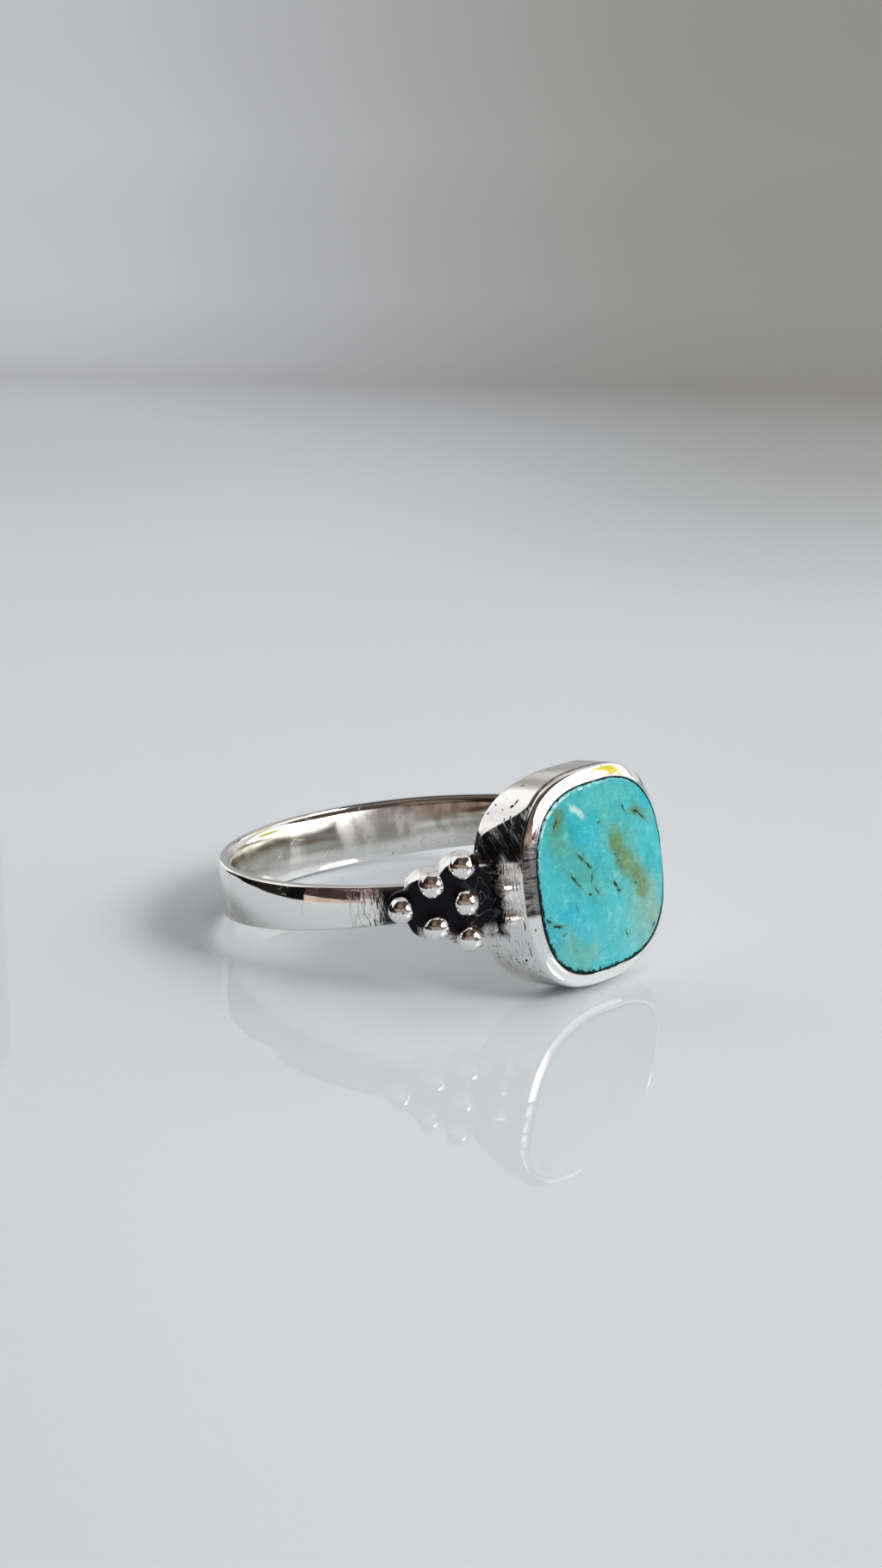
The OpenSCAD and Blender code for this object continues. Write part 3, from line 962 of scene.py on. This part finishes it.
def room_light(world):
    """Light from the room: windows, pale walls, a brown ceiling and a dark corner."""
    shader = Shader(world)
    way = shader.add("TexCoord").outputs["Generated"]
    x, y, z = shader.split(way)
    azimuth = shader.math("DEGREES", shader.math("ARCTAN2", x, -y))
    elevation = shader.math("DEGREES", shader.math("ARCSINE", z))
    colour = shader.blend(elevation.fade(25, 60), WALLS, CEILING)
    for patch in ROOM:
        turn = shader.math("WRAP", azimuth - patch.azimuth, 180, -180)
        turn = abs(turn / patch.half_wide) ** patch.squareness
        rise = abs((elevation - patch.elevation) / patch.half_tall) ** patch.squareness
        away = (turn + rise) ** (1 / patch.squareness)
        colour = shader.blend(away.fade(1 + patch.soft, 1 - patch.soft), colour, patch.colour)
    cloud = shader.noise(way, 3, 3).fade(0.3, 0.7, 0.82, 1.18)
    shader.close(shader.add("Background", {"Color": colour, "Strength": cloud}), "OutputWorld")


def dark_screen(name, screen):
    """A dark upright screen beside the ring that only the silver shows."""
    bm = bmesh.new()
    ends = [Vector((x, y, screen.low)) * MM for x, y in ((screen.x0, screen.y0), (screen.x1, screen.y1))]
    bm.edges.new([bm.verts.new(end) for end in ends])
    made = bmesh.ops.extrude_edge_only(bm, edges=bm.edges[:])["geom"]
    bmesh.ops.translate(bm, verts=verts_of(made), vec=(0, 0, (screen.top - screen.low) * MM))
    shader = Shader(bpy.data.materials.new(name))
    place = shader.add("TexCoord").outputs["Object"]
    bars = shader.noise(shader.stretch(place, (1, 1, 0.15)), screen.grain, 3.0)
    tone = shader.blend(bars.fade(0.4, 0.6), screen.colour, screen.other)
    material = shader.close(shader.add("Emission", {"Color": tone}))
    card = add_object(name, mesh_from(name, bm, material))
    card.visible_camera = card.visible_diffuse = card.visible_shadow = False
    return card


def soft_box():
    """A wide soft light overhead that the silver doesn't show."""
    data = bpy.data.lights.new("soft_box", "AREA")
    data.size = 0.5
    data.energy = 0.5
    box = add_object("soft_box", data)
    box.location = 0.05, -0.05, 0.5
    box.visible_glossy = False
    return box


def photo_camera(stage):
    """The camera at the photograph's angle."""
    azimuth, elevation, roll = stage.azimuth, stage.elevation, stage.roll
    back = Vector((math.sin(azimuth) * math.cos(elevation), -math.cos(azimuth) * math.cos(elevation),
                   math.sin(elevation)))
    right = Vector((math.cos(azimuth), math.sin(azimuth), 0))
    up = back.cross(right)
    right, up = right * math.cos(roll) + up * math.sin(roll), up * math.cos(roll) - right * math.sin(roll)
    data = bpy.data.cameras.new("photo_camera")
    data.lens, data.sensor_width, data.clip_start = stage.lens, 36, 0.001
    camera = add_object("photo_camera", data)
    turned = Matrix((right, up, back)).transposed().to_4x4()
    camera.matrix_world = Matrix.Translation(Vector(stage.target) + back * stage.distance) @ turned
    bpy.context.scene.camera = camera


class RING_OT_band(bpy.types.Operator):
    """Models the band round the finger"""

    bl_idname = "ring.band"
    bl_label = "Band"

    def execute(self, context):
        material = silver_material("silver_band", band_stain, band_wear_and_painted_shade, polish=0.04)
        finish_piece("silver_band", make_band(context.scene.ring_band), material, MOUNT)
        return {"FINISHED"}


class RING_OT_shoulders(bpy.types.Operator):
    """Models the two scalloped shoulder plates"""

    bl_idname = "ring.shoulders"
    bl_label = "Shoulder plates"

    def execute(self, context):
        material = silver_material("silver_plates", plate_stain, polish=0.09, streaks=0.5)
        finish_pair("shoulder_plate", make_plate, context.scene.ring_shoulders, material)
        return {"FINISHED"}


class RING_OT_granules(bpy.types.Operator):
    """Models the small balls on the shoulder plates"""

    bl_idname = "ring.granules"
    bl_label = "Granules"

    def execute(self, context):
        material = silver_material("silver_granules", granule_stain)
        finish_pair("granules", make_granules, context.scene.ring_shoulders, material)
        return {"FINISHED"}


class RING_OT_bezel(bpy.types.Operator):
    """Models the bezel with its rubbed rim"""

    bl_idname = "ring.bezel"
    bl_label = "Bezel"

    def execute(self, context):
        material = silver_material("silver_bezel", bezel_black_and_painted_reflection, polish=0.04, streaks=0.6, filed=True)
        bezel = make_bezel(context.scene.ring_bezel, context.scene.ring_stone)
        finish_piece("silver_bezel", bezel, material, MOUNT)
        return {"FINISHED"}


class RING_OT_stone(bpy.types.Operator):
    """Models the turquoise cabochon"""

    bl_idname = "ring.stone"
    bl_label = "Stone"

    def execute(self, context):
        sizes, bezel = context.scene.ring_stone, context.scene.ring_bezel
        material = turquoise_material(sizes, bezel.squareness)
        finish_piece("turquoise_cabochon", make_stone(sizes, bezel), material, STONE)
        return {"FINISHED"}


class RING_OT_stage(bpy.types.Operator):
    """Sets up the floor, the light and the camera"""

    bl_idname = "ring.stage"
    bl_label = "Stage"

    def execute(self, context):
        scene = context.scene
        bm = bmesh.new()
        bmesh.ops.create_grid(bm, x_segments=1, y_segments=1, size=4)
        table = mesh_from("table_top", bm, floor_material(scene.ring_stage.floor_colour))
        add_object("table_top", table)
        scene.world = bpy.data.worlds.new("room")
        room_light(scene.world)
        for name, screen in SCREENS.items():
            dark_screen(name, screen)
        soft_box()
        scene.view_settings.view_transform = "Standard"
        photo_camera(scene.ring_stage)
        return {"FINISHED"}


class RING_PT_panel(bpy.types.Panel):
    """Lists the ring's pieces"""

    bl_idname = "RING_PT_panel"
    bl_label = "Turquoise ring"
    bl_space_type = "VIEW_3D"
    bl_region_type = "UI"
    bl_category = "Ring"

    def draw(self, context):
        for group in PROPERTIES:
            box = self.layout.box()
            for name in getattr(context.scene, group).bl_rna.properties.keys():
                if name not in {"rna_type", "name"}:
                    box.prop(getattr(context.scene, group), name)
        for operator in OPERATORS:
            self.layout.operator(operator.bl_idname)


OPERATORS = (RING_OT_band, RING_OT_shoulders, RING_OT_granules, RING_OT_bezel, RING_OT_stone, RING_OT_stage)
PROPERTIES = {"ring_band": BandSizes, "ring_shoulders": ShoulderSizes, "ring_bezel": BezelSizes,
              "ring_stone": StoneSizes, "ring_stage": StageSettings}


def register():
    for made in (*PROPERTIES.values(), *OPERATORS, RING_PT_panel):
        bpy.utils.register_class(made)
    for name, group in PROPERTIES.items():
        setattr(bpy.types.Scene, name, PointerProperty(type=group))


def unregister():
    for name in PROPERTIES:
        delattr(bpy.types.Scene, name)
    for made in reversed((*PROPERTIES.values(), *OPERATORS, RING_PT_panel)):
        bpy.utils.unregister_class(made)


def main():
    register()
    bpy.ops.ring.band()
    bpy.ops.ring.shoulders()
    bpy.ops.ring.granules()
    bpy.ops.ring.bezel()
    bpy.ops.ring.stone()
    bpy.ops.ring.stage()


if __name__ == "__main__":
    main()
